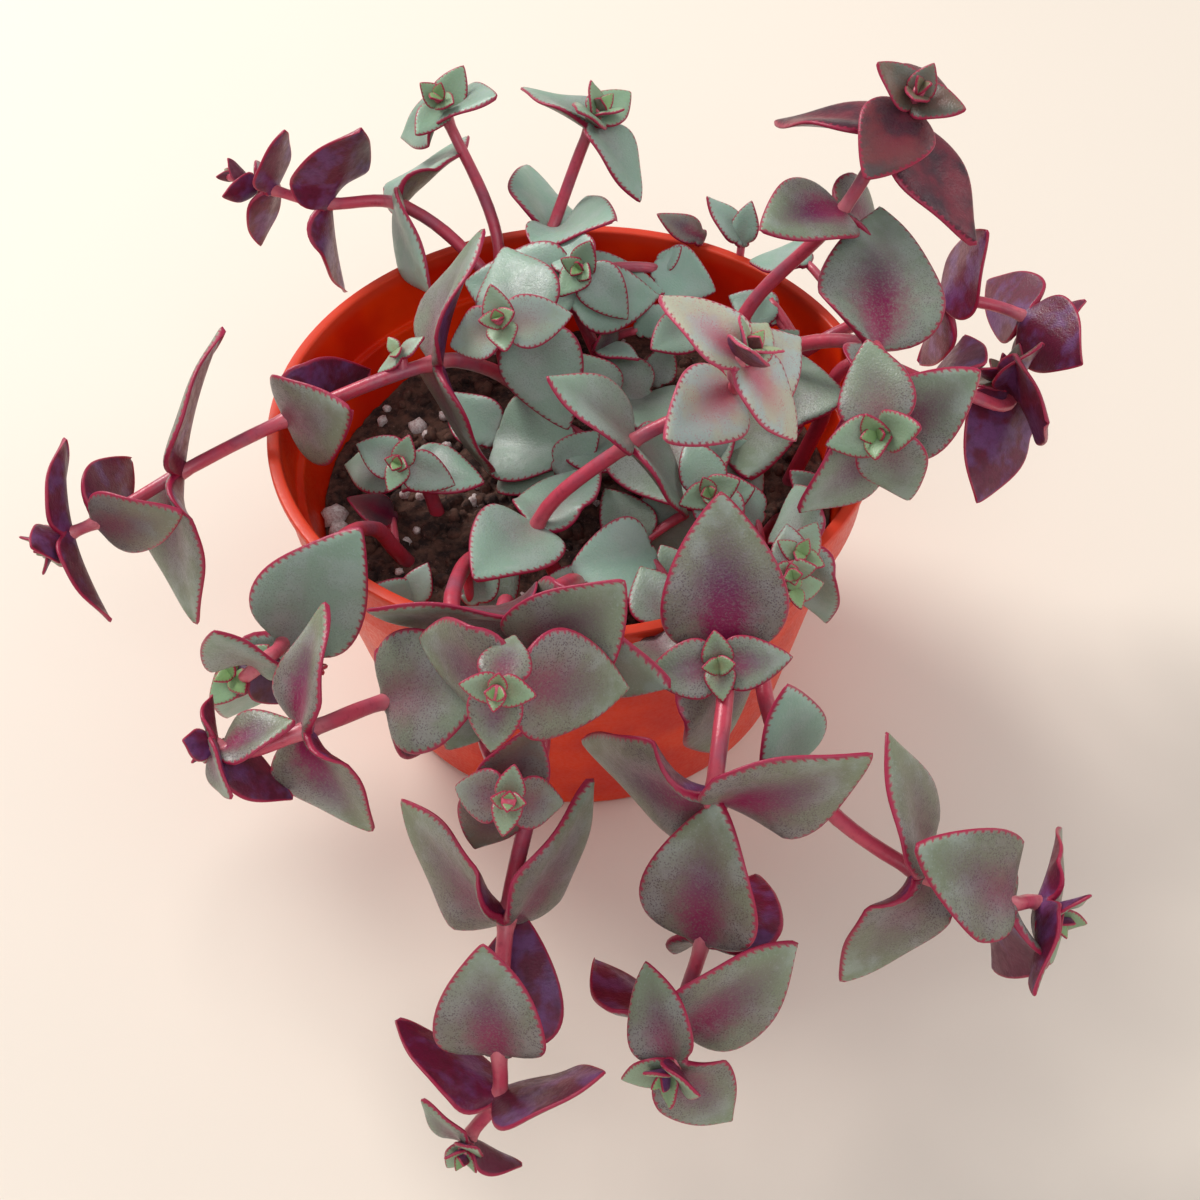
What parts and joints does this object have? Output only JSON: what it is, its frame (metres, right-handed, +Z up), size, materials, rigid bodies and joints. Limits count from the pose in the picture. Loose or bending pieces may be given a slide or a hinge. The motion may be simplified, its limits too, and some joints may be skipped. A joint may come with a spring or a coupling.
{
  "type": "potted crassula",
  "caption": "Trailing crassula with red stems and crossed pairs of blushed grey-green leaves in a squat orange nursery pot.",
  "frame": {"origin": "middle of the pot's underside", "axes": "+Z up, -Y towards the side where the longest stems trail down"},
  "size_m": [0.1527, 0.1608, 0.1006],
  "materials": {
    "pot": "satin",
    "soil": "rough",
    "stem": "satin",
    "leaf": "satin"
  },
  "bodies": {
    "root": {"leaves_centre_front_1": "leaf", "leaves_centre_front_2": "leaf", "leaves_centre_front_3": "leaf", "leaves_centre_left_1": "leaf", "leaves_centre_right_1": "leaf", "leaves_centre_right_2": "leaf", "leaves_centre_right_3": "leaf", "leaves_east_1": "leaf", "leaves_east_2": "leaf", "leaves_east_northeast_1": "leaf", "leaves_far_east_1": "leaf", "leaves_front_centre_1": "leaf", "leaves_front_centre_2": "leaf", "leaves_front_centre_3": "leaf", "leaves_front_left_1": "leaf", "leaves_front_left_2": "leaf", "leaves_front_right_1": "leaf", "leaves_front_right_2": "leaf", "leaves_front_right_3": "leaf", "leaves_front_right_4": "leaf", "leaves_inner_left_1": "leaf", "leaves_inner_right_1": "leaf", "leaves_left_middle_1": "leaf", "leaves_north_1": "leaf", "leaves_north_short_1": "leaf", "leaves_northeast_1": "leaf", "leaves_northeast_2": "leaf", "leaves_northwest_1": "leaf", "leaves_northwest_2": "leaf", "leaves_right_front_2": "leaf", "leaves_right_front_3": "leaf", "leaves_west_1": "leaf", "leaves_west_2": "leaf", "leaves_west_3": "leaf", "leaves_west_4": "leaf", "pot": "pot", "soil": "soil", "stem_centre_front": "stem", "stem_centre_left": "stem", "stem_centre_right": "stem", "stem_east": "stem", "stem_east_northeast": "stem", "stem_far_east": "stem", "stem_front_bud": "stem", "stem_front_centre": "stem", "stem_front_left": "stem", "stem_front_right": "stem", "stem_inner_left": "stem", "stem_inner_right": "stem", "stem_left_middle": "stem", "stem_north": "stem", "stem_north_northwest": "stem", "stem_north_short": "stem", "stem_northeast": "stem", "stem_northwest": "stem", "stem_right_front": "stem", "stem_right_middle": "stem", "stem_west": "stem"}
  },
  "joints": []
}
